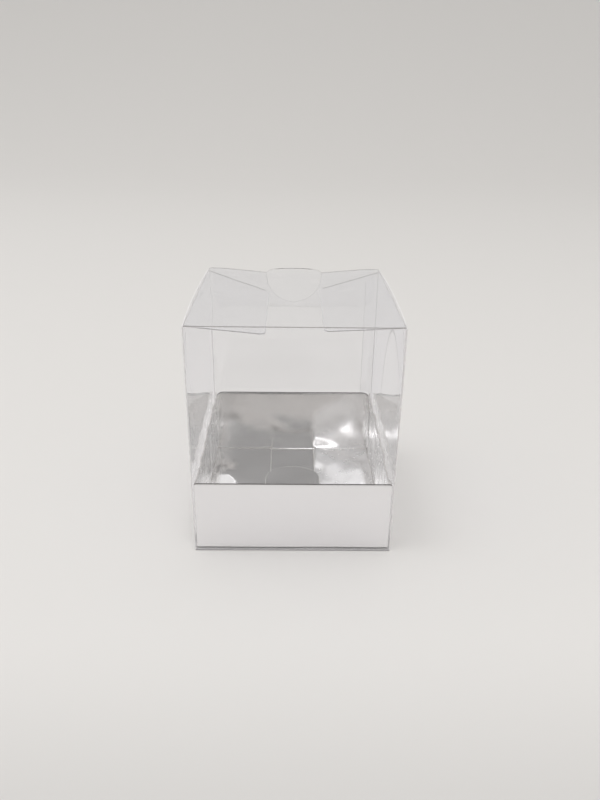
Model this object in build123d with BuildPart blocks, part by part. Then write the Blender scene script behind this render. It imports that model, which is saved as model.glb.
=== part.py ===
"""Clear favor box with a mirror-silver card tray.

Two folded sheets make the object.  A clear plastic sheet is folded and glued into an upright box with a
tuck closure at its top and at its bottom, both hinged on the front wall.  A silver card sheet is folded
into an open tray that stands inside it.  Every panel between two creases is a piece of its own.

Frame: +Z up, X across the front, front of the box at -Y, origin in the middle of the face it stands on.
"""
from build123d import *
import os
from math import cos, radians, sin

# Clear box, outside sizes
box_width = 63.5
box_depth = 70.0
box_height = 76.0
sheet = 0.3                # clear sheet
crease_gap = 0.1           # left open between two panels at a crease
layer_gap = 0.1            # between sheets that lie on each other
edge_gap = 0.2             # top edges of the walls to the lid above them

# Closures at the top and the bottom
lid_side_gap = 0.4         # top lid's edge to the outside of a side wall
bottom_lid_gap = 0.25      # bottom lid's edge to the inside of a side wall
lid_corner = 1.5
lid_sag = 2.0              # middle of the top lid's free edge, below its sides
tuck_gap = 0.25            # tuck flap to the seam strip that it slides over
tuck_side_gap = 1.6        # tuck flap's edge to the lid's edge
tuck_corner = 5.0
tuck_length = 14.0
tuck_lean = 10.0           # degrees that the tuck flap leans into the box
bottom_tuck_length = 9.0
bottom_tuck_lean = 5.0
dust_opening = 16.5        # between the free edges of a pair of dust flaps
dust_straight = 44.0       # straight part of a dust flap's free edge
dust_front_room = 1.0      # dust flap to the front wall
dust_back_room = 3.8       # slanted edge of a dust flap to the back wall, at the crease
dust_inner_corner = 4.0
dust_outer_corner = 2.0
left_dust_droop = 5.5      # degrees that a top dust flap hangs below the lid
right_dust_droop = 3.0

# Half-moon cut in the top tuck flap, left standing on the lid as a pull tab
half_moon_radius = 10.0
half_moon_cut = 0.2

# Glued seam of the clear sheet
seam_width = 4.5
seam_taper = 4.0
seam_end_room = 1.5

# Silver card tray
card = 0.5
tray_rim_height = 24.5
tray_gap = 0.5             # tray to the clear panels around it
tray_front_corner = 0.8     # round upper corners of the tray's front wall
tray_back_corner = 3.5
tray_flap_opening = 16.8
tray_flap_corner = 2.0
tray_floor_room = 1.0      # free edge of the floor to the front wall
tray_tab_width = 8.0
tray_tab_taper = 3.0
tray_tab_room = 1.5        # tab end to the floor and to the rim
tongue_root = 16.0         # straight root of the tongue flap
tongue_reach = 17.0        # round end of the tongue, behind the middle of the box
tongue_radius = 10.2
tongue_side_room = 3.0     # root of the tongue flap to a side wall

# Levels and places that follow from them
lid_level = box_height - sheet
side_top = lid_level - edge_gap
front_face = -box_depth / 2
back_face = box_depth / 2
inner_half_width = box_width / 2 - sheet
tuck_crease = box_depth - sheet - sheet - tuck_gap
dust_crease_x = inner_half_width - crease_gap
top_lid_width = box_width - 2 * lid_side_gap
bottom_lid_width = 2 * (inner_half_width - bottom_lid_gap)

tray_bottom = sheet + layer_gap + sheet + layer_gap
tray_half_width = inner_half_width - tray_gap
tray_front = front_face + sheet + tray_gap
bottom_tuck_reach = sheet + bottom_tuck_length * sin(radians(bottom_tuck_lean))
tray_back = front_face + tuck_crease - bottom_tuck_reach - tray_gap
tray_inner_x = tray_half_width - card
tray_inner_front = tray_front + card
tray_inner_back = tray_back - card
tray_floor_top = tray_bottom + 3 * card


def upright(x, y, outward):
    """Plane of an upright panel's outer face: local x runs along it, local y is up."""
    return Plane(origin=(x, y, 0), x_dir=Vector(0, 0, 1).cross(Vector(*outward)), z_dir=outward)


def sag_line(width, level, drop):
    """Smooth line that is level at both ends of its width and lower by the drop in its middle."""
    return Spline((-width / 2, level), (0, level - drop), (width / 2, level), tangents=[(1, 0), (1, 0)])


def sag_face(width, level, drop):
    """Face between a sag line and the straight line across its ends."""
    with BuildSketch() as face:
        with BuildLine():
            line = sag_line(width, level, drop)
            Line(line @ 1, line @ 0)
        make_face()
    return face.sketch


def wall(face, length, low, high, thickness, corner=0.0, sag=0.0):
    """Flat wall behind its outer face, with round top corners or a sagging top edge where it has them."""
    with BuildPart() as panel:
        with BuildSketch(face):
            with Locations((0, (low + high) / 2)):
                Rectangle(length, high - low)
            if corner:
                fillet(vertices().group_by(Axis.Y)[-1], corner)
            if sag:
                add(sag_face(length, high, sag), mode=Mode.SUBTRACT)
        extrude(amount=-thickness)
    return panel.part


def seam_tab(face, edge, reach, low, high, taper, thickness):
    """Glue tab with slanted ends: it lies behind its face and runs from a crease at local x = edge."""
    with BuildPart() as tab:
        with BuildSketch(face):
            with BuildLine():
                Polyline(
                    (edge, low),
                    (edge + reach, low + taper),
                    (edge + reach, high - taper),
                    (edge, high),
                    close=True,
                )
            make_face()
        extrude(amount=-thickness)
    return tab.part


def lid_section(seat, width, at, sag):
    """Cross-section of a lid at its local y, with a sagging middle."""
    face = Plane(origin=seat.from_local_coords(Vector(0, at, 0)), x_dir=seat.x_dir, z_dir=-seat.y_dir)
    with BuildSketch(face) as section:
        with BuildLine():
            low = sag_line(width, 0, sag)
            high = sag_line(width, sheet, sag)
            Line(low @ 0, high @ 0)
            Line(low @ 1, high @ 1)
        make_face()
    return section.sketch


def closure_lid(seat, width, start, half_moon=0.0, sag=0.0):
    """Lid from its hinge at local y = start to the tuck crease, with a half-moon tab past that crease.

    Its middle may sag, from nothing at the hinge to the full drop at the crease.
    """
    depth = tuck_crease - start
    end = tuck_crease + half_moon
    with BuildPart() as lid:
        with BuildSketch(seat):
            with Locations((0, start + depth / 2)):
                Rectangle(width, depth)
            fillet(vertices().group_by(Axis.Y)[-1], lid_corner)
            if half_moon:
                with Locations((0, tuck_crease)):
                    Circle(half_moon)
        if sag:
            extrude(amount=2 * sag, both=True)
            hinge = lid_section(seat, width, start, 0)
            tip = lid_section(seat, width, end, sag * (end - start) / depth)
            loft([hinge, tip], ruled=True, mode=Mode.INTERSECT)
        else:
            extrude(amount=sheet)
    return lid.part


def closure_tuck(seat, width, length, lean, half_moon=0.0, sag=0.0):
    """Tuck flap that hangs from the lid's free edge, leans into the box and may have a half-moon notch."""
    crease = seat.from_local_coords(Vector(0, tuck_crease, 0))
    tip = seat.from_local_coords(Vector(0, tuck_crease - sin(radians(lean)), -cos(radians(lean))))
    inward = seat.x_dir.cross(tip - crease)
    with BuildPart() as flap:
        with BuildSketch(Plane(origin=crease, x_dir=seat.x_dir, z_dir=inward)):
            with Locations((0, (length + crease_gap) / 2)):
                Rectangle(width - 2 * tuck_side_gap, length - crease_gap)
            fillet(vertices().group_by(Axis.Y)[-1], tuck_corner)
            if sag:
                add(sag_face(width, crease_gap, -sag), mode=Mode.SUBTRACT)
            if half_moon:
                with Locations((0, sag)):
                    Circle(half_moon, mode=Mode.SUBTRACT)
        extrude(amount=sheet)
    return flap.part


def closure_dust(seat, side, droop=0.0):
    """Dust flap under a lid, from the wall at local x of that side; it droops about its lower edge."""
    reach = dust_crease_x - dust_opening / 2
    front_y = sheet + dust_front_room
    back_y = box_depth - sheet - dust_back_room
    crease = seat.from_local_coords(Vector(side * dust_crease_x, 0, -layer_gap - sheet))
    run = Vector(-side * cos(radians(droop)), 0, -sin(radians(droop)))
    inward = seat.from_local_coords(Vector(side * dust_crease_x, 0, -layer_gap - sheet) + run) - crease
    ahead = seat.y_dir
    with BuildPart() as flap:
        with BuildSketch(Plane(origin=crease, x_dir=inward, z_dir=inward.cross(ahead))):
            with BuildLine():
                Polyline(
                    (0, front_y),
                    (reach, front_y),
                    (reach, front_y + dust_straight),
                    (0, back_y),
                    close=True,
                )
            make_face()
            fillet(vertices().group_by(Axis.X)[-1].sort_by(Axis.Y)[-1:], dust_inner_corner)
            fillet(vertices().group_by(Axis.Y)[0].sort_by(Axis.X)[-1:], dust_outer_corner)
        extrude(amount=-side * sheet)
    return flap.part


def floor_flap(low_x, high_x, low_y, high_y, layer, axis, end):
    """Flat flap of the tray's floor on its layer, with two round corners at one end of an axis."""
    with BuildPart() as flap:
        with BuildSketch(Plane.XY.offset(tray_bottom + layer * card)):
            with Locations(((low_x + high_x) / 2, (low_y + high_y) / 2)):
                Rectangle(high_x - low_x, high_y - low_y)
            fillet(vertices().group_by(axis)[end], tray_flap_corner)
        extrude(amount=card)
    return flap.part


def floor_tongue():
    """Top flap of the tray's floor: a broad root at the front that narrows to a tongue with a round end."""
    root_x = tray_inner_x - tongue_side_room
    root_y = tray_inner_front + tongue_root
    round_y = tongue_reach - tongue_radius
    neck_y = root_y + (root_x - tongue_radius)
    with BuildPart() as flap:
        with BuildSketch(Plane.XY.offset(tray_bottom + 2 * card)):
            with BuildLine():
                Polyline(
                    (-tongue_radius, round_y),
                    (-tongue_radius, neck_y),
                    (-root_x, root_y),
                    (-root_x, tray_inner_front),
                    (root_x, tray_inner_front),
                    (root_x, root_y),
                    (tongue_radius, neck_y),
                    (tongue_radius, round_y),
                )
                ThreePointArc((tongue_radius, round_y), (0, tongue_reach), (-tongue_radius, round_y))
            make_face()
        extrude(amount=card)
    return flap.part


def clear_walls():
    """Walls and glued seam of the clear box."""
    side_length = box_depth - 2 * sheet
    left = upright(-box_width / 2, 0, (-1, 0, 0))
    right = upright(box_width / 2, 0, (1, 0, 0))
    front = upright(0, front_face, (0, -1, 0))
    back = upright(0, back_face, (0, 1, 0))
    seam = upright(0, back_face - sheet, (0, 1, 0))
    seam_low = sheet + seam_end_room
    seam_high = lid_level - seam_end_room
    return {
        "front_wall": wall(front, box_width, 0, lid_level - crease_gap, sheet),
        "back_wall": wall(back, box_width, 0, side_top, sheet, sag=lid_sag),
        "left_wall": wall(left, side_length, 0, side_top, sheet),
        "right_wall": wall(right, side_length, 0, side_top, sheet),
        "glue_seam": seam_tab(seam, -inner_half_width, seam_width, seam_low, seam_high, seam_taper, sheet),
    }


def closures():
    """The two tuck closures: lid, tuck flap and a pair of dust flaps at each end of the box."""
    top = Plane(origin=(0, front_face, lid_level), x_dir=(1, 0, 0), z_dir=(0, 0, 1))
    bottom = Plane(origin=(0, front_face, sheet), x_dir=(-1, 0, 0), z_dir=(0, 0, -1))
    notch = half_moon_radius + half_moon_cut
    return {
        "top_lid": closure_lid(top, top_lid_width, 0, half_moon_radius, lid_sag),
        "top_tuck_flap": closure_tuck(top, top_lid_width, tuck_length, tuck_lean, notch, lid_sag),
        "top_left_dust_flap": closure_dust(top, -1, left_dust_droop),
        "top_right_dust_flap": closure_dust(top, 1, right_dust_droop),
        "bottom_lid": closure_lid(bottom, bottom_lid_width, sheet + crease_gap),
        "bottom_tuck_flap": closure_tuck(bottom, bottom_lid_width, bottom_tuck_length, bottom_tuck_lean),
        "bottom_left_dust_flap": closure_dust(bottom, 1),
        "bottom_right_dust_flap": closure_dust(bottom, -1),
    }


def tray_walls():
    """Walls of the silver card tray and its glued corner tab."""
    middle_y = (tray_front + tray_back) / 2
    length = tray_inner_back - tray_inner_front
    width = 2 * tray_half_width
    front = upright(0, tray_front, (0, -1, 0))
    back = upright(0, tray_back, (0, 1, 0))
    left = upright(-tray_half_width, middle_y, (-1, 0, 0))
    right = upright(tray_half_width, middle_y, (1, 0, 0))
    tab = upright(tray_inner_x, middle_y, (1, 0, 0))
    tab_low = tray_floor_top + tray_tab_room
    tab_high = tray_rim_height - tray_tab_room
    return {
        "tray_front_wall": wall(front, width, tray_bottom, tray_rim_height, card, tray_front_corner),
        "tray_back_wall": wall(back, width, tray_bottom, tray_rim_height, card, tray_back_corner),
        "tray_left_wall": wall(left, length, tray_bottom, tray_rim_height, card),
        "tray_right_wall": wall(right, length, tray_bottom, tray_rim_height, card),
        "tray_glue_tab": seam_tab(tab, length / 2, -tray_tab_width, tab_low, tab_high, tray_tab_taper, card),
    }


def tray_floor():
    """Floor of the tray: a flap from the back, two from the sides and the tongue from the front on top."""
    x = tray_inner_x
    gap_x = tray_flap_opening / 2
    low_y = tray_inner_front
    high_y = tray_inner_back
    return {
        "tray_floor": floor_flap(-x, x, low_y + tray_floor_room, high_y, 0, Axis.Y, 0),
        "tray_left_floor_flap": floor_flap(-x, -gap_x, low_y, high_y, 1, Axis.X, -1),
        "tray_right_floor_flap": floor_flap(gap_x, x, low_y, high_y, 1, Axis.X, 0),
        "tray_floor_tongue": floor_tongue(),
    }


os.makedirs("parts", exist_ok=True)
pieces = clear_walls() | closures() | tray_walls() | tray_floor()
for name, piece in pieces.items():
    piece.label = name
    export_step(piece, f"parts/{name}.step")
    print(f"{name}: {piece.volume:.1f} mm3")
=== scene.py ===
"""Dresses a clear folded favor box with a mirror-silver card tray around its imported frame.

The clear sheet bows a little between its creases and the silver card is gently buckled, so most panels are
bent copies of their flat solids.  Every length is in metres, in the frame's own axes, unless its name ends in
_mm or _px.
"""

import logging
import math
from collections.abc import Callable, Sequence
from dataclasses import dataclass, field
from enum import Enum

import bmesh
import bpy
from mathutils import Matrix, Vector, noise

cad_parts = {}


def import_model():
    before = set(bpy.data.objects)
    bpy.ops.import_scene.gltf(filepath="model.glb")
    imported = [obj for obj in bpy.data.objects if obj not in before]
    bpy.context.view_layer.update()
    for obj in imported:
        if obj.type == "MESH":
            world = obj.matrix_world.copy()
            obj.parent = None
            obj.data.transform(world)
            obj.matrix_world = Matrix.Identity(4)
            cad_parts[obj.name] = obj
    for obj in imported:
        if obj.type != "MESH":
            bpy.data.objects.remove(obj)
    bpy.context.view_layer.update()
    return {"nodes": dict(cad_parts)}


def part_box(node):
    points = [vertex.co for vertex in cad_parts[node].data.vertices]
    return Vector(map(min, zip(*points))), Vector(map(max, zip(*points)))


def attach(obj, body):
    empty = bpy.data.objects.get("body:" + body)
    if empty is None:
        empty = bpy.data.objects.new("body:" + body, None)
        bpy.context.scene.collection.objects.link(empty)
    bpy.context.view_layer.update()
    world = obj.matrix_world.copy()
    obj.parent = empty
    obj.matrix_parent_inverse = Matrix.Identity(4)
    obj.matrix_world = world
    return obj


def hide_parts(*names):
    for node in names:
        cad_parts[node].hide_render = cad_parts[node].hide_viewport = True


LOG = logging.getLogger("favor_box")

MM = 0.001
BOX_WIDTH = 63.5 * MM
BOX_DEPTH = 70.0 * MM
LID_LEVEL = 75.7 * MM
RIM_LEVEL = 24.5 * MM

# Points of a solid that are nearer than this are one.
MERGE_DISTANCE = 0.001 * MM
# A cut takes a point that is nearer than this.
CUT_DISTANCE = 0.0005 * MM
# Faces that meet at less than this are one flat face.
FLAT_ANGLE = math.radians(0.5)
# Faces that meet at less than this are shaded as one.
SMOOTH_ANGLE = math.radians(35.0)
# Faces that meet at more than this have a rim between them.
RIM_ANGLE = math.radians(50.0)
# A broad face's normal lies along the panel's thin axis by more than this share.
BROAD_SHARE = 0.95
# An edge whose normal points up by more than this share is a top edge.
TOP_SHARE = 0.2
# An edge whose normal points to the front or the back by more than this share is a front or a back edge.
DEPTH_SHARE = 0.3
# A face of the sleeve whose normal points to two sides by more than this share is in a fold.
FOLD_SHARE = 0.5
# A face of the sleeve whose normal points up or down by more than this share is a cut end.
CUT_SHARE = 0.7

Bend = Callable[[Vector], Vector]


class Axis(Enum):
    """Axis that a panel is cut along, so that it can bend."""

    X = Vector((1.0, 0.0, 0.0))
    Y = Vector((0.0, 1.0, 0.0))
    Z = Vector((0.0, 0.0, 1.0))


class Side(Enum):
    """Faces of a thin panel, by the number of their material."""

    FACE = 0
    EDGE = 1
    FRONT_EDGE = 2
    BACK_EDGE = 3
    TOP_EDGE = 4


def srgb(code: str) -> tuple[float, float, float, float]:
    """Turns an sRGB hex colour to linear.

    Args:
        code: Colour as six hex digits after a #.

    Returns:
        Linear red, green and blue with an alpha of 1.
    """
    parts = [int(code[i : i + 2], 16) / 255.0 for i in (1, 3, 5)]
    linear = [c / 12.92 if c <= 0.04045 else ((c + 0.055) / 1.055) ** 2.4 for c in parts]
    return (linear[0], linear[1], linear[2], 1.0)


def smooth_step(value: float, low: float, high: float) -> float:
    """Eases from 0 at low to 1 at high.

    Args:
        value: Where the step is read.
        low: Start of the step.
        high: End of the step.

    Returns:
        The eased share, from 0 to 1.
    """
    t = min(1.0, max(0.0, (value - low) / (high - low)))
    return t * t * (3.0 - 2.0 * t)


@dataclass(frozen=True)
class Band:
    """Stretch over which a form or a tone sets in."""

    start: float
    end: float

    def share(self, value: float) -> float:
        """Gives the eased share at a place, which is 0 before the band and 1 after it."""
        return smooth_step(value, self.start, self.end)


def add_node(
    tree: bpy.types.NodeTree,
    kind: str,
    links: dict[str | int, bpy.types.NodeSocket] | None = None,
    **settings: object,
) -> bpy.types.Node:
    """Adds a node with its settings and links.

    Args:
        tree: Node tree that gets the node.
        kind: Blender's node type.
        links: Output sockets by the name or number of the input that they feed.
        settings: Values by property or by input name, with _ for a blank.

    Returns:
        The new node.
    """
    node = tree.nodes.new(kind)
    for key, value in settings.items():
        if hasattr(node, key):
            setattr(node, key, value)
        else:
            node.inputs[key.replace("_", " ")].default_value = value
    for key, source in (links or {}).items():
        tree.links.new(source, node.inputs[key])
    return node


def new_material(name: str) -> tuple[bpy.types.Material, bpy.types.NodeTree]:
    """Makes a material with an empty node tree.

    Args:
        name: The real material and finish.

    Returns:
        The material and its tree.
    """
    material = bpy.data.materials.new(name)
    material.use_nodes = True
    material.node_tree.nodes.clear()
    return material, material.node_tree


@dataclass(frozen=True)
class ClearSheetFinish:
    """Rigid PET sheet: calendered, glossy on both faces, with a faint cool grey cast in the layers."""

    tint: str = "#FDFDFE"
    roughness: float = 0.02
    ior: float = 1.5
    ripple_mm: float = 26.0
    ripple_strength: float = 0.002

    def build(self) -> bpy.types.Material:
        """Builds the sheet's material.

        Returns:
            Glass that lets lamp light and mirrored light through unbent, because the sheet is thin.
        """
        material, tree = new_material("clear_pet_sheet_glossy")
        place = add_node(tree, "ShaderNodeTexCoord")
        ripple = add_node(
            tree,
            "ShaderNodeTexNoise",
            {"Vector": place.outputs["Object"]},
            Scale=1.0 / (self.ripple_mm * MM),
            Detail=1.0,
        )
        bump = add_node(
            tree,
            "ShaderNodeBump",
            {"Height": ripple.outputs[0]},
            Strength=self.ripple_strength,
            Distance=MM,
        )
        sheet = add_node(
            tree,
            "ShaderNodeBsdfPrincipled",
            {"Normal": bump.outputs[0]},
            Base_Color=srgb(self.tint),
            Roughness=self.roughness,
            IOR=self.ior,
            Transmission_Weight=1.0,
        )
        passed = add_node(tree, "ShaderNodeBsdfTransparent", Color=srgb(self.tint))
        path = add_node(tree, "ShaderNodeLightPath")
        surface = sheet
        for ray in ("Is Shadow Ray", "Is Reflection Ray"):
            surface = add_node(
                tree,
                "ShaderNodeMixShader",
                {0: path.outputs[ray], 1: surface.outputs[0], 2: passed.outputs[0]},
            )
        add_node(tree, "ShaderNodeOutputMaterial", {"Surface": surface.outputs[0]})
        return material


@dataclass(frozen=True)
class SheetEdgeFinish:
    """Edge of the clear sheet: light caught in the sheet comes out here as a soft grey line."""

    name: str
    grey: str
    roughness: float = 0.35
    nick_mm: float = 1.3
    tone_spread: float = 0.25

    def build(self) -> bpy.types.Material:
        """Builds the edge's material.

        Returns:
            Satin grey whose tone wanders along the cut.
        """
        material, tree = new_material(self.name)
        place = add_node(tree, "ShaderNodeTexCoord")
        nicks = add_node(
            tree,
            "ShaderNodeTexNoise",
            {"Vector": place.outputs["Object"]},
            Scale=1.0 / (self.nick_mm * MM),
            Detail=2.0,
        )
        tone = add_node(
            tree,
            "ShaderNodeMapRange",
            {"Value": nicks.outputs[0]},
            To_Min=1.0 - self.tone_spread,
            To_Max=1.0 + self.tone_spread,
        )
        colour = add_node(tree, "ShaderNodeVectorMath", {1: tone.outputs[0]}, operation="MULTIPLY")
        colour.inputs[0].default_value = srgb(self.grey)[:3]
        edge = add_node(
            tree, "ShaderNodeBsdfPrincipled", {"Base Color": colour.outputs[0]}, Roughness=self.roughness
        )
        add_node(tree, "ShaderNodeOutputMaterial", {"Surface": edge.outputs[0]})
        return material


@dataclass(frozen=True)
class SilverCardFinish:
    """Card laminated with metallised film: a soft mirror whose film shows the board's unevenness.

    Crumpled film is given less metal, because its fine creases scatter part of the light.
    """

    name: str
    metal: str = "#FAF9F8"
    metallic: float = 1.0
    roughness: float = 0.1
    glossy_share: float = 0.7
    dull_share: float = 1.4
    board_mm: float = 2.6
    board_depth_mm: float = 0.2
    board_strength: float = 0.05
    crinkle_mm: float = 10.0
    crinkle_depth_mm: float = 2.0
    crinkle_softness: float = 0.35
    crinkle_strength: float = 0.0

    def build(self) -> bpy.types.Material:
        """Builds the film's material.

        Returns:
            Mirror metal with the board's unevenness and the film's crinkles as bump and in its gloss.
        """
        material, tree = new_material(self.name)
        place = add_node(tree, "ShaderNodeTexCoord")
        board = add_node(
            tree,
            "ShaderNodeTexNoise",
            {"Vector": place.outputs["Object"]},
            Scale=1.0 / (self.board_mm * MM),
            Detail=3.0,
        )
        crinkle = add_node(
            tree,
            "ShaderNodeTexVoronoi",
            {"Vector": place.outputs["Object"]},
            feature="SMOOTH_F1",
            Scale=1.0 / (self.crinkle_mm * MM),
            Smoothness=self.crinkle_softness,
        )
        gloss = add_node(
            tree,
            "ShaderNodeMapRange",
            {"Value": board.outputs[0]},
            To_Min=self.roughness * self.glossy_share,
            To_Max=self.roughness * self.dull_share,
        )
        uneven = add_node(
            tree,
            "ShaderNodeBump",
            {"Height": board.outputs[0]},
            Strength=self.board_strength,
            Distance=self.board_depth_mm * MM,
        )
        creased = add_node(
            tree,
            "ShaderNodeBump",
            {"Height": crinkle.outputs["Distance"], "Normal": uneven.outputs[0]},
            Strength=self.crinkle_strength,
            Distance=self.crinkle_depth_mm * MM,
        )
        film = add_node(
            tree,
            "ShaderNodeBsdfPrincipled",
            {"Roughness": gloss.outputs[0], "Normal": creased.outputs[0]},
            Base_Color=srgb(self.metal),
            Metallic=self.metallic,
        )
        add_node(tree, "ShaderNodeOutputMaterial", {"Surface": film.outputs[0]})
        return material


@dataclass(frozen=True)
class BoardCoreFinish:
    """Cut edge of the silver card, where its board core shows between the films; a tone darker than the white
    core is painted shade.
    """

    name: str
    tone: str
    roughness: float = 0.7
    fibre_mm: float = 0.7
    tone_spread: float = 0.4

    def build(self) -> bpy.types.Material:
        """Builds the core's material.

        Returns:
            Matt board with fine fibre in its tone.
        """
        material, tree = new_material(self.name)
        place = add_node(tree, "ShaderNodeTexCoord")
        fibre = add_node(
            tree,
            "ShaderNodeTexNoise",
            {"Vector": place.outputs["Object"]},
            Scale=1.0 / (self.fibre_mm * MM),
            Detail=4.0,
        )
        shade = add_node(
            tree,
            "ShaderNodeMapRange",
            {"Value": fibre.outputs[0]},
            To_Min=1.0 - self.tone_spread,
            To_Max=1.0 + self.tone_spread,
        )
        colour = add_node(tree, "ShaderNodeVectorMath", {1: shade.outputs[0]}, operation="MULTIPLY")
        colour.inputs[0].default_value = srgb(self.tone)[:3]
        board = add_node(
            tree, "ShaderNodeBsdfPrincipled", {"Base Color": colour.outputs[0]}, Roughness=self.roughness
        )
        add_node(tree, "ShaderNodeOutputMaterial", {"Surface": board.outputs[0]})
        return material


@dataclass(frozen=True)
class PaperFinish:
    """Matt backdrop paper: an even pale grey, with painted shade that darkens it in front of the box."""

    tone: str = "#E6E4E2"
    roughness: float = 0.7
    gloss: float = 0.2
    # Painted shade: over this band along Y the paper's tone drops towards the camera to the share below.
    near: Band = Band(-0.16, -0.07)
    painted_shade_share: float = 0.78

    def build(self) -> bpy.types.Material:
        """Builds the paper's material.

        Returns:
            Matt paper with painted shade in front of the box: its tone rises over the band along Y.
        """
        material, tree = new_material("matt_backdrop_paper")
        place = add_node(tree, "ShaderNodeTexCoord")
        split = add_node(tree, "ShaderNodeSeparateXYZ", {0: place.outputs["Object"]})
        # Painted shade: the paper is darkened towards the camera, in front of the box.
        fall = add_node(
            tree,
            "ShaderNodeMapRange",
            {"Value": split.outputs["Y"]},
            interpolation_type="SMOOTHSTEP",
            From_Min=self.near.start,
            From_Max=self.near.end,
            To_Min=self.painted_shade_share,
            To_Max=1.0,
        )
        colour = add_node(tree, "ShaderNodeVectorMath", {1: fall.outputs[0]}, operation="MULTIPLY")
        colour.inputs[0].default_value = srgb(self.tone)[:3]
        paper = add_node(
            tree,
            "ShaderNodeBsdfPrincipled",
            {"Base Color": colour.outputs[0]},
            Roughness=self.roughness,
            Specular_IOR_Level=self.gloss,
        )
        add_node(tree, "ShaderNodeOutputMaterial", {"Surface": paper.outputs[0]})
        return material


def cut_evenly(bm: bmesh.types.BMesh, axis: Axis, step: float) -> None:
    """Cuts a mesh across an axis into even slices.

    Args:
        bm: The mesh that is cut.
        axis: Direction that the slices follow each other in.
        step: Wished thickness of a slice.
    """
    along = [v.co.dot(axis.value) for v in bm.verts]
    low, high = min(along), max(along)
    count = max(1, round((high - low) / step))
    for i in range(1, count):
        bmesh.ops.bisect_plane(
            bm,
            geom=bm.verts[:] + bm.edges[:] + bm.faces[:],
            dist=CUT_DISTANCE,
            plane_co=axis.value * (low + (high - low) * i / count),
            plane_no=axis.value,
        )


def finish_mesh(
    bm: bmesh.types.BMesh, name: str, materials: Sequence[bpy.types.Material]
) -> bpy.types.Object:
    """Turns a mesh into an object, smooth apart from its edges.

    Args:
        bm: The mesh, which is freed.
        name: Name of the piece.
        materials: The materials that its faces number.

    Returns:
        The piece, with its place in its mesh.
    """
    for face in bm.faces:
        face.smooth = True
    for edge in bm.edges:
        edge.smooth = edge.is_manifold and edge.calc_face_angle(0.0) < SMOOTH_ANGLE
    mesh = bpy.data.meshes.new(name)
    bm.to_mesh(mesh)
    bm.free()
    for material in materials:
        mesh.materials.append(material)
    piece = bpy.data.objects.new(name, mesh)
    bpy.context.collection.objects.link(piece)
    return piece


@dataclass(frozen=True)
class PanelForm:
    """How a panel's rims and cuts are made.

    The rim is a radius, the border is the width of the marked strip along back edges that lie behind
    border_from, and the cut is the distance between two cuts.
    """

    rim: float
    cut: float
    border: float = 0.0
    border_from: float = -1.0


def is_broad(face: bmesh.types.BMFace, thin: Axis) -> bool:
    """Tells whether a face lies across the thin axis, as a panel's two broad faces do."""
    return abs(face.normal.dot(thin.value)) > BROAD_SHARE


def edge_side(normal: Vector, thin: Axis) -> Side:
    """Tells which kind of edge a face across a panel's thickness is.

    Args:
        normal: The face's normal.
        thin: Axis across the panel's thickness.

    Returns:
        The kind of edge, by the way that it faces.
    """
    if thin is not Axis.Z and normal.z > TOP_SHARE:
        return Side.TOP_EDGE
    if thin is not Axis.Y and abs(normal.y) > DEPTH_SHARE:
        return Side.BACK_EDGE if normal.y > 0.0 else Side.FRONT_EDGE
    return Side.EDGE


def number_sides(
    bm: bmesh.types.BMesh, middle: Sequence[bmesh.types.BMFace], thin: Axis, form: PanelForm
) -> None:
    """Numbers the material of a panel's edges, and of the marked strip beside its back edges.

    Args:
        bm: The panel's mesh, with its rims rounded.
        middle: The broad faces, without the border strip where the form has one.
        thin: Axis across the panel's thickness.
        form: How the border strip is made.
    """
    edges = {f for f in bm.faces if not is_broad(f, thin)}
    for face in edges:
        face.material_index = edge_side(face.normal, thin).value
    if not form.border:
        return
    inner = edges.union(middle)
    for face in [f for f in bm.faces if f not in inner]:
        beside = [n for e in face.edges for n in e.link_faces if n in edges]
        kinds = [edge_side(n.normal, thin) for n in beside]
        is_marked = Side.BACK_EDGE in kinds and face.calc_center_median().y > form.border_from
        face.material_index = (Side.BACK_EDGE if is_marked else Side.FACE).value


def bent_panel(
    name: str,
    node: bpy.types.Object,
    thin: Axis,
    form: PanelForm,
    bend: Bend,
    materials: Sequence[bpy.types.Material],
) -> bpy.types.Object:
    """Copies a thin solid, rounds its rims, cuts it finely and bends it.

    Args:
        name: Name of the new piece.
        node: The solid's object.
        thin: Axis across the panel's thickness.
        form: How the rims and the cuts are made.
        bend: Gives a point's bent place.
        materials: Materials in the order of the panel's sides.

    Returns:
        The bent piece.
    """
    bm = bmesh.new()
    bm.from_mesh(node.data)
    bmesh.ops.remove_doubles(bm, verts=bm.verts[:], dist=MERGE_DISTANCE)
    bmesh.ops.dissolve_limit(bm, angle_limit=FLAT_ANGLE, verts=bm.verts[:], edges=bm.edges[:])
    middle = [f for f in bm.faces if is_broad(f, thin)]
    if form.border:
        bmesh.ops.inset_region(bm, faces=middle, thickness=form.border, use_even_offset=True)
    corners = [e for e in bm.edges if e.is_manifold and e.calc_face_angle(0.0) > RIM_ANGLE]
    bmesh.ops.bevel(
        bm,
        geom=[e for e in corners if any(is_broad(f, thin) for f in e.link_faces)],
        offset=form.rim,
        offset_type="OFFSET",
        segments=2,
        profile=0.5,
        affect="EDGES",
        clamp_overlap=True,
        material=-1,
    )
    bm.normal_update()
    number_sides(bm, middle, thin, form)
    for axis in Axis:
        if axis is not thin:
            cut_evenly(bm, axis, form.cut)
    for vert in bm.verts:
        vert.co = bend(vert.co.copy())
    bm.normal_update()
    return finish_mesh(bm, name, materials)


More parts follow.
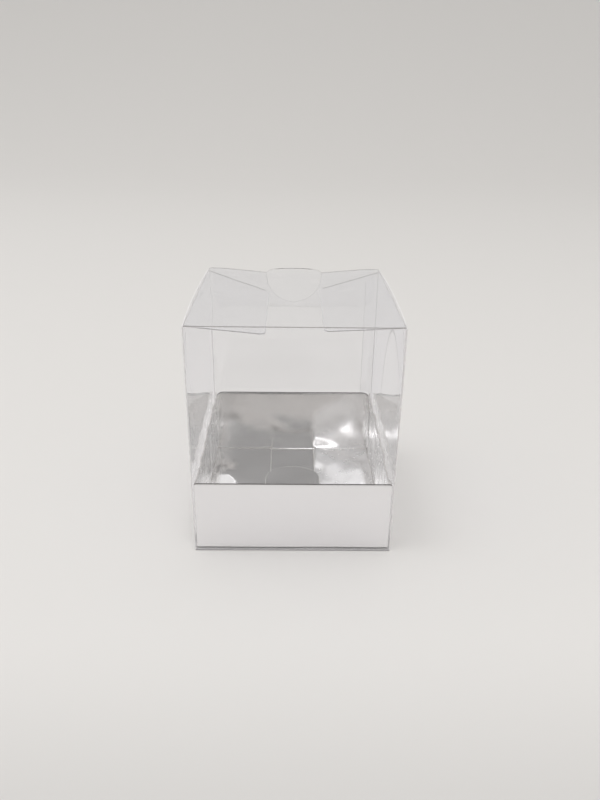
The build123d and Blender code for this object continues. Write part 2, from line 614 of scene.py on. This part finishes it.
@dataclass
class ClearBox:
    """The clear folded box: sleeve, glued seam and the two tuck closures.

    A point of the sleeve is on a wall where it is nearer to the outside than wall_reach.
    """

    sheet: bpy.types.Material
    fold: bpy.types.Material
    crease: bpy.types.Material
    cut_edge: bpy.types.Material
    thickness: float = 0.3 * MM
    crease_radius: float = 0.6 * MM
    crease_segments: int = 4
    glue: float = 0.05 * MM
    wall_reach: float = 0.05 * MM
    wall_bow: float = 2.0 * MM
    bow_fullness: float = 0.8
    bow_rise: Band = Band(RIM_LEVEL, LID_LEVEL - 4.0 * MM)
    bow_fall: Band = Band(LID_LEVEL - 4.0 * MM, LID_LEVEL)
    bow_loss: float = 0.55
    lid_sag: float = 2.0 * MM
    lid_width: float = 62.7 * MM
    lid_depth: float = 69.15 * MM
    edge_sag: Band = Band(62.0 * MM, LID_LEVEL)
    rim: float = 0.06 * MM
    cut_mark: float = 0.5 * MM
    cut: float = 3.0 * MM
    pieces: list[bpy.types.Object] = field(default_factory=list)

    def hang_lid(self, point: Vector) -> Vector:
        """Lays a point of the lid on the smooth surface that sags in its middle.

        Args:
            point: A point of the lid's facets.

        Returns:
            The point, at its own depth in the sheet.
        """
        middle = 1.0 - smooth_step(abs(point.x), 0.0, self.lid_width / 2)
        dip = self.lid_sag * middle * (point.y + BOX_DEPTH / 2) / self.lid_depth
        height = min(self.thickness, max(0.0, point.z - LID_LEVEL + dip))
        layers = (0.0, self.rim, self.thickness - self.rim, self.thickness)
        layer = min(layers, key=lambda d: abs(d - height))
        return Vector((point.x, point.y, LID_LEVEL - dip + layer))

    def seat_seam(self, point: Vector) -> Vector:
        """Lays the seam strip on its glue, inside the back wall."""
        return point - Vector((0.0, self.glue, 0.0))

    def bow_sleeve(self, point: Vector) -> Vector:
        """Bows the side walls out between their creases and lets the top edge follow the lid.

        Args:
            point: A point of the flat sleeve.

        Returns:
            The point on the bowed sleeve.
        """
        place = point.copy()
        if abs(point.x) > BOX_WIDTH / 2 - self.wall_reach:
            along = max(0.0, math.cos(math.pi * point.y / BOX_DEPTH)) ** self.bow_fullness
            rise = self.bow_rise.share(point.z)
            shoulder = 1.0 - self.bow_loss * self.bow_fall.share(point.z)
            place.x += math.copysign(self.wall_bow * along * rise * shoulder, point.x)
        if point.y > BOX_DEPTH / 2 - self.wall_reach:
            middle = 1.0 - smooth_step(abs(point.x), 0.0, BOX_WIDTH / 2)
            place.z -= self.lid_sag * middle * self.edge_sag.share(point.z)
        return place

    def build_sleeve(self, top: float) -> bpy.types.Object:
        """Folds the four walls from one sheet with rounded creases.

        Args:
            top: Height of the walls' upper edge.

        Returns:
            The sleeve.
        """
        bm = bmesh.new()
        bmesh.ops.create_cube(bm, size=1.0)
        bmesh.ops.scale(bm, verts=bm.verts[:], vec=(BOX_WIDTH, BOX_DEPTH, top))
        bmesh.ops.translate(bm, verts=bm.verts[:], vec=(0.0, 0.0, top / 2))
        ends = [f for f in bm.faces if is_broad(f, Axis.Z)]
        bmesh.ops.delete(bm, geom=ends, context="FACES_ONLY")
        creases = [e for e in bm.edges if abs(e.verts[0].co.z - e.verts[1].co.z) > top / 2]
        bmesh.ops.bevel(
            bm,
            geom=creases,
            offset=self.crease_radius,
            offset_type="OFFSET",
            segments=self.crease_segments,
            profile=0.5,
            affect="EDGES",
            material=-1,
        )
        for axis in Axis:
            cut_evenly(bm, axis, self.cut)
        for vert in bm.verts:
            vert.co = self.bow_sleeve(vert.co.copy())
        bmesh.ops.solidify(bm, geom=bm.faces[:], thickness=self.thickness)
        bmesh.ops.recalc_face_normals(bm, faces=bm.faces[:])
        for face in bm.faces:
            is_fold = min(abs(face.normal.x), abs(face.normal.y)) > FOLD_SHARE
            is_cut = abs(face.normal.z) > CUT_SHARE
            face.material_index = (Side.EDGE if is_fold or is_cut else Side.FACE).value
        return finish_mesh(bm, "clear_sleeve", [self.sheet, self.fold])

    def place(self, piece: bpy.types.Object, body: str, *nodes: str) -> None:
        """Sets a piece on its body in place of its solids.

        Args:
            piece: The finished piece.
            body: Name of the body that carries it.
            nodes: Names of the solids that it stands for.
        """
        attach(piece, body)
        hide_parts(*nodes)
        self.pieces.append(piece)

    def build(self, nodes: dict[str, bpy.types.Object]) -> None:
        """Folds the sleeve and bends the panels of the two closures.

        Args:
            nodes: The frame's solids by name.
        """
        sleeve = self.build_sleeve(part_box("left_wall")[1].z)
        self.place(sleeve, "box", "front_wall", "back_wall", "left_wall", "right_wall")
        plain = PanelForm(self.rim, self.cut)
        marked = PanelForm(self.rim, self.cut, self.cut_mark)
        marked_tab = PanelForm(self.rim, self.cut, self.cut_mark, BOX_DEPTH / 2)
        folded = [self.sheet, self.crease, self.crease, self.crease, self.crease]
        flap = [self.sheet, self.crease, self.crease, self.cut_edge, self.crease]
        tucked = [self.sheet, self.cut_edge, self.cut_edge, self.cut_edge, self.cut_edge]
        plans: list[tuple[str, str, Axis, PanelForm, Bend, list[bpy.types.Material]]] = [
            ("glue_seam", "box", Axis.Y, plain, self.seat_seam, folded),
            ("top_lid", "lid", Axis.Z, marked_tab, self.hang_lid, flap),
            ("top_tuck_flap", "tuck", Axis.Y, plain, Vector.copy, tucked),
            ("top_left_dust_flap", "left_flap", Axis.Z, marked, Vector.copy, flap),
            ("top_right_dust_flap", "right_flap", Axis.Z, marked, Vector.copy, flap),
            ("bottom_lid", "base_lid", Axis.Z, plain, Vector.copy, folded),
            ("bottom_tuck_flap", "base_tuck", Axis.Y, plain, Vector.copy, folded),
            ("bottom_left_dust_flap", "box", Axis.Z, plain, Vector.copy, folded),
            ("bottom_right_dust_flap", "box", Axis.Z, plain, Vector.copy, folded),
        ]
        for node, body, thin, form, bend, materials in plans:
            self.place(bent_panel(f"{node}_sheet", nodes[node], thin, form, bend, materials), body, node)


@dataclass(frozen=True)
class Ripple:
    """Slow buckling that card has everywhere, as broad and fine waves.

    The broad waves' length is a multiple of the wave, and both heights are shares of a panel's own buckling.
    """

    wave: float = 9.0 * MM
    broad_length: float = 2.2
    broad_height: float = 1.6
    fine_height: float = 0.7
    fine_shift: Vector = field(default_factory=lambda: Vector((7.3, 1.9, 4.1)))

    def offset(self, point: Vector, size: float) -> float:
        """Reads the buckling at a place.

        Args:
            point: Place on the card.
            size: Height of the buckling.

        Returns:
            The offset along the card's normal.
        """
        broad = noise.noise(point / (self.wave * self.broad_length))
        fine = noise.noise(point / self.wave + self.fine_shift)
        return size * (broad * self.broad_height + fine * self.fine_height)


@dataclass(frozen=True)
class Wrinkles:
    """Upright wrinkles in the tray's side walls, above the floor and between the corners.

    They are taller than wide by the stretch, and the shift makes the two walls differ.
    """

    height: float = 1.1 * MM
    width: float = 4.5 * MM
    stretch: float = 4.0
    side_shift: float = 5.0
    above_floor: Band = Band(3.4 * MM, 7.0 * MM)
    from_corner: Band = Band(2.2 * MM, 5.0 * MM)

    def depth(self, point: Vector) -> float:
        """Reads how far a side wall is pushed in.

        Args:
            point: A point of the flat wall.

        Returns:
            The distance inwards.
        """
        shift = math.copysign(self.side_shift, point.x)
        place = Vector((shift, point.y / self.width, point.z / (self.width * self.stretch)))
        push = 0.5 + 0.5 * noise.noise(place)
        over_floor = self.above_floor.share(point.z)
        ends = self.from_corner.share(BOX_DEPTH / 2 - abs(point.y))
        return self.height * push * over_floor * ends


@dataclass(frozen=True)
class Swelling:
    """Swelling of a floor flap near its crease, where the fold springs up."""

    height: float = 1.6 * MM
    rise: Band = Band(19.0 * MM, 25.0 * MM)
    fall: Band = Band(28.0 * MM, 30.0 * MM)
    fall_share: float = 0.6
    front: Band = Band(-1.0 * MM, 9.0 * MM)
    back: Band = Band(10.0 * MM, 24.0 * MM)

    def lift(self, point: Vector) -> float:
        """Reads how far a flap stands up.

        Args:
            point: A point of the flat flap.

        Returns:
            The lift, which rises from the front and sinks slowly to the back.
        """
        across = self.rise.share(abs(point.x))
        across *= 1.0 - self.fall_share * self.fall.share(abs(point.x))
        along = self.front.share(point.y) * (1.0 - self.back.share(point.y))
        return self.height * across * along


@dataclass(frozen=True)
class SlantingBuckle:
    """Slanting buckle in the right floor flap, between the tongue that holds it down and the side wall."""

    start: Vector = field(default_factory=lambda: Vector((10.4, 24.6, 0.0)) * MM)
    line: Vector = field(default_factory=lambda: Vector((15.3, -16.7, 0.0)).normalized())
    height: float = 2.4 * MM
    rise: float = 8.0 * MM
    fall: float = 7.0 * MM
    tongue_reach: float = 10.3 * MM
    tongue_ease: float = 2.0 * MM
    tongue_taper: float = 2.6 * MM
    tongue_end: Band = Band(14.0 * MM, 18.0 * MM)
    side: Band = Band(26.0 * MM, 29.5 * MM)
    front: Band = Band(-1.0 * MM, 3.0 * MM)
    back: Band = Band(28.0 * MM, 31.5 * MM)

    def lift(self, point: Vector) -> float:
        """Reads how far the flap stands up.

        Args:
            point: A point of the flat flap.

        Returns:
            The lift on the buckle's two slopes, which ends at the tongue and at the tray's walls.
        """
        away = (point - self.start).dot(Vector((self.line.y, -self.line.x, 0.0)))
        held = self.tongue_reach - self.tongue_taper * self.tongue_end.share(point.y)
        free = smooth_step(point.x, held, held + self.tongue_ease) * (1.0 - self.side.share(point.x))
        free *= self.front.share(point.y) * (1.0 - self.back.share(point.y))
        ridge = math.exp(-((away / (self.rise if away > 0.0 else self.fall)) ** 2))
        return self.height * free * ridge


@dataclass
class SilverTray:
    """The open tray of silver card: walls, glued corner and folded floor.

    The back shift gives the back wall another stretch of the ripple than the front wall.
    """

    wall_film: bpy.types.Material
    crumpled_film: bpy.types.Material
    floor_film: bpy.types.Material
    # Painted shade: the front and back walls' top edges get the board core painted nearly black, as a dark
    # line of shade along the rim.
    rim_core_painted_shade: bpy.types.Material
    # Painted shade: the side walls' top edges get the board core painted a greyer tone than its white.
    side_core_painted_shade: bpy.types.Material
    floor_core: bpy.types.Material
    ripple: Ripple = field(default_factory=Ripple)
    wrinkles: Wrinkles = field(default_factory=Wrinkles)
    swelling: Swelling = field(default_factory=Swelling)
    slanting_buckle: SlantingBuckle = field(default_factory=SlantingBuckle)
    front_buckle: float = 0.04 * MM
    front_drop: float = 0.4 * MM
    front_foot: Band = Band(0.8 * MM, 4.0 * MM)
    back_buckle: float = 0.14 * MM
    back_shift: float = 9.0
    floor_buckle: float = 0.16 * MM
    tongue_drop: float = 0.42 * MM
    tongue_sides: Band = Band(4.92 * MM, 8.2 * MM)
    tongue_end: Band = Band(0.0, 12.0 * MM)
    rim_rise: float = 2.3 * MM
    rise_depth: Band = Band(-BOX_DEPTH / 2, BOX_DEPTH / 2)
    rise_height: Band = Band(4.0 * MM, RIM_LEVEL)
    rim: float = 0.16 * MM
    cut: float = 1.0 * MM
    pieces: list[bpy.types.Object] = field(default_factory=list)

    def raise_rim(self, point: Vector) -> Vector:
        """Draws a wall's point up, more towards the back, where the tray's rim stands higher."""
        share = self.rise_depth.share(point.y) * self.rise_height.share(point.z)
        return point + Vector((0.0, 0.0, self.rim_rise * share))

    def buckle_side(self, point: Vector) -> Vector:
        """Wrinkles a wall that stands across X inwards."""
        push = math.copysign(self.wrinkles.depth(point), point.x)
        return self.raise_rim(point) - Vector((push, 0.0, 0.0))

    def buckle_front(self, point: Vector) -> Vector:
        """Buckles the front wall, whose film lies smooth and whose foot reaches down to the bottom lid."""
        wave = self.ripple.offset(Vector((point.x, 0.0, point.z)), self.front_buckle)
        drop = self.front_drop * (1.0 - self.front_foot.share(point.z))
        return point + Vector((0.0, wave, -drop))

    def buckle_back(self, point: Vector) -> Vector:
        """Buckles the back wall."""
        wave = self.ripple.offset(Vector((point.x, self.back_shift, point.z)), self.back_buckle)
        return self.raise_rim(point) + Vector((0.0, wave, 0.0))

    def buckle_floor(self, point: Vector) -> Vector:
        """Buckles the floor's flaps together, so that they stay on each other."""
        wave = self.ripple.offset(Vector((point.x, point.y, 0.0)), self.floor_buckle)
        return point + Vector((0.0, 0.0, wave))

    def buckle_flap(self, point: Vector) -> Vector:
        """Buckles a side flap of the floor, which also swells near its crease."""
        return self.buckle_floor(point) + Vector((0.0, 0.0, self.swelling.lift(point)))

    def buckle_right_flap(self, point: Vector) -> Vector:
        """Buckles the right flap of the floor, which also has the slanting buckle."""
        return self.buckle_flap(point) + Vector((0.0, 0.0, self.slanting_buckle.lift(point)))

    def lay_tongue(self, point: Vector) -> Vector:
        """Lets the tongue's round end lie down between the side flaps."""
        inside = 1.0 - self.tongue_sides.share(abs(point.x))
        drop = self.tongue_drop * inside * self.tongue_end.share(point.y)
        return self.buckle_floor(point) - Vector((0.0, 0.0, drop))

    def build(self, nodes: dict[str, bpy.types.Object]) -> None:
        """Bends and dresses the tray's panels.

        Args:
            nodes: The frame's solids by name.
        """
        form = PanelForm(self.rim, self.cut)
        others = len(Side) - 1
        # Painted shade: the top edges of the front and back walls are the board core darkened.
        wall = [self.wall_film] * others + [self.rim_core_painted_shade]
        # Painted shade: the side walls' top edges are the board core greyed.
        side = [self.crumpled_film] * others + [self.side_core_painted_shade]
        floor = [self.floor_film] + [self.floor_core] * others
        crumpled = [self.crumpled_film] + [self.floor_core] * others
        plans: list[tuple[str, Axis, Bend, list[bpy.types.Material]]] = [
            ("tray_front_wall", Axis.Y, self.buckle_front, wall),
            ("tray_back_wall", Axis.Y, self.buckle_back, wall),
            ("tray_left_wall", Axis.X, self.buckle_side, side),
            ("tray_right_wall", Axis.X, self.buckle_side, side),
            ("tray_glue_tab", Axis.X, self.buckle_side, side),
            ("tray_floor", Axis.Z, self.buckle_floor, floor),
            ("tray_left_floor_flap", Axis.Z, self.buckle_flap, floor),
            ("tray_right_floor_flap", Axis.Z, self.buckle_right_flap, crumpled),
            ("tray_floor_tongue", Axis.Z, self.lay_tongue, floor),
        ]
        for node, thin, bend, materials in plans:
            piece = bent_panel(f"{node}_card", nodes[node], thin, form, bend, materials)
            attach(piece, "tray")
            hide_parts(node)
            self.pieces.append(piece)


@dataclass(frozen=True)
class SoftLamp:
    """A square soft lamp that faces the box, with its side length and its power in watts."""

    name: str
    place: tuple[float, float, float]
    size: float
    power: float


@dataclass
class Studio:
    """Pale paper sweep, soft light and the camera at the photograph's view.

    The room's light changes with its direction: ceiling is a band of its upward share, and shade a band of
    its share towards the photographer, who keeps light off the box.
    """

    half_width: float = 3.0
    front: float = -3.0
    bend_start: float = 0.9
    bend_radius: float = 1.3
    bend_degrees: float = 90.0
    bend_steps: int = 24
    room_tint: str = "#FFFEFC"
    wall_light: float = 0.66
    ceiling_light: float = 0.885
    ceiling: Band = Band(0.2, 0.9)
    photographer: Vector = field(default_factory=lambda: Vector((0.0, -0.86, 0.51)))
    shade: Band = Band(0.8, 0.97)
    shade_share: float = 0.41
    lamps: tuple[SoftLamp, ...] = (
        SoftLamp("key_soft_box", (-1.0, -0.1, 1.1), 0.9, 3.6),
        SoftLamp("ceiling_panel", (0.15, -0.45, 0.95), 0.4, 1.6),
    )
    lamp_aim: Vector = field(default_factory=lambda: Vector((0.0, 0.0, 0.03)))
    focal_px: float = 691.8
    image_height_px: float = 800.0
    sensor_mm: float = 36.0
    near_clip: float = 0.01
    camera_place: Vector = field(default_factory=lambda: Vector((-1.44, -219.8, 136.65)) * MM)
    pitch_degrees: float = 24.198
    yaw_degrees: float = 0.976
    roll_degrees: float = 0.818

    def sweep(self) -> None:
        """Makes the paper sweep: a floor that curves up behind the box."""
        bm = bmesh.new()
        start = [
            bm.verts.new((-self.half_width, self.front, 0.0)),
            bm.verts.new((self.half_width, self.front, 0.0)),
        ]
        edge = bm.edges.new(start)
        grown = bmesh.ops.extrude_edge_only(bm, edges=[edge])["geom"]
        row = [e for e in grown if isinstance(e, bmesh.types.BMVert)]
        bmesh.ops.translate(bm, verts=row, vec=(0.0, self.bend_start - self.front, 0.0))
        edges = [e for e in bm.edges if all(v in row for v in e.verts)]
        bmesh.ops.spin(
            bm,
            geom=row + edges,
            cent=(0.0, self.bend_start, self.bend_radius),
            axis=(1.0, 0.0, 0.0),
            angle=math.radians(self.bend_degrees),
            steps=self.bend_steps,
        )
        bmesh.ops.recalc_face_normals(bm, faces=bm.faces[:])
        finish_mesh(bm, "paper_sweep", [PaperFinish().build()])

    def world(self) -> None:
        """Sets the soft room light, dimmer on the side that the box is seen from."""
        world = bpy.data.worlds.new("soft_room")
        bpy.context.scene.world = world
        world.use_nodes = True
        tree = world.node_tree
        tree.nodes.clear()
        place = add_node(tree, "ShaderNodeTexCoord")
        near = add_node(
            tree, "ShaderNodeVectorMath", {0: place.outputs["Generated"]}, operation="DOT_PRODUCT"
        )
        near.inputs[1].default_value = self.photographer
        level = add_node(
            tree,
            "ShaderNodeMapRange",
            {"Value": near.outputs["Value"]},
            interpolation_type="SMOOTHSTEP",
            From_Min=self.shade.start,
            From_Max=self.shade.end,
            To_Min=1.0,
            To_Max=self.shade_share,
        )
        split = add_node(tree, "ShaderNodeSeparateXYZ", {0: place.outputs["Generated"]})
        height = add_node(
            tree,
            "ShaderNodeMapRange",
            {"Value": split.outputs["Z"]},
            interpolation_type="SMOOTHSTEP",
            From_Min=self.ceiling.start,
            From_Max=self.ceiling.end,
            To_Min=self.wall_light,
            To_Max=self.ceiling_light,
        )
        power = add_node(
            tree, "ShaderNodeMath", {0: level.outputs[0], 1: height.outputs[0]}, operation="MULTIPLY"
        )
        light = add_node(
            tree, "ShaderNodeBackground", {"Strength": power.outputs[0]}, Color=srgb(self.room_tint)
        )
        add_node(tree, "ShaderNodeOutputWorld", {"Surface": light.outputs[0]})

    def hang(self, lamp: SoftLamp) -> None:
        """Hangs a lamp at its place and turns it to the box.

        Args:
            lamp: The lamp's name, place, size and power.
        """
        data = bpy.data.lights.new(lamp.name, "AREA")
        data.size = lamp.size
        data.energy = lamp.power
        hung = bpy.data.objects.new(lamp.name, data)
        bpy.context.collection.objects.link(hung)
        hung.location = lamp.place
        hung.rotation_euler = (self.lamp_aim - Vector(lamp.place)).to_track_quat("-Z", "Y").to_euler()

    def camera(self) -> None:
        """Places the camera that was fitted to the photograph's corners."""
        turns = (self.pitch_degrees, self.yaw_degrees, self.roll_degrees)
        pitch, yaw, roll = (math.radians(t) for t in turns)
        ahead = Vector((math.sin(yaw) * math.cos(pitch), math.cos(yaw) * math.cos(pitch), -math.sin(pitch)))
        right = Vector((math.cos(yaw), -math.sin(yaw), 0.0))
        above = right.cross(ahead)
        right, above = (
            right * math.cos(roll) + above * math.sin(roll),
            above * math.cos(roll) - right * math.sin(roll),
        )
        turn = Matrix((right, above, -ahead)).transposed()
        data = bpy.data.cameras.new("photo_view")
        data.sensor_width = self.sensor_mm
        data.lens = self.focal_px * data.sensor_width / self.image_height_px
        data.clip_start = self.near_clip
        camera = bpy.data.objects.new("photo_view", data)
        camera.matrix_world = Matrix.Translation(self.camera_place) @ turn.to_4x4()
        bpy.context.collection.objects.link(camera)
        bpy.context.scene.camera = camera

    def build(self) -> None:
        """Builds the stage, the light and the camera."""
        self.sweep()
        self.world()
        for lamp in self.lamps:
            self.hang(lamp)
        self.camera()
        bpy.context.scene.view_settings.view_transform = "Standard"


def main() -> None:
    """Builds every piece around the frame."""
    logging.basicConfig(level=logging.INFO)
    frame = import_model()
    box = ClearBox(
        sheet=ClearSheetFinish().build(),
        fold=SheetEdgeFinish("clear_pet_sheet_fold", "#F0EEEE").build(),
        crease=SheetEdgeFinish("clear_pet_sheet_crease", "#BDBABA").build(),
        cut_edge=SheetEdgeFinish("clear_pet_sheet_cut_edge", "#686666").build(),
    )
    box.build(frame["nodes"])
    tray = SilverTray(
        wall_film=SilverCardFinish("silver_mirror_card_smooth", roughness=0.16).build(),
        crumpled_film=SilverCardFinish(
            "silver_mirror_card_wrinkled", metallic=0.6, roughness=0.24, crinkle_strength=0.3
        ).build(),
        floor_film=SilverCardFinish("silver_mirror_card_crinkled", crinkle_strength=0.15).build(),
        # Painted shade: the board core painted dark grey for the shaded top rims of the front and back walls.
        rim_core_painted_shade=BoardCoreFinish("board_core_cut_painted_deep_shade", "#3F3B38").build(),
        # Painted shade: the board core painted pale grey for the side walls' top rims.
        side_core_painted_shade=BoardCoreFinish("board_core_cut_painted_light_shade", "#C4C1BE").build(),
        floor_core=BoardCoreFinish("white_board_core_cut", "#DAD7D3").build(),
    )
    tray.build(frame["nodes"])
    Studio().build()
    for piece in box.pieces + tray.pieces:
        LOG.info("piece %s", piece.name)


if __name__ == "__main__":
    main()
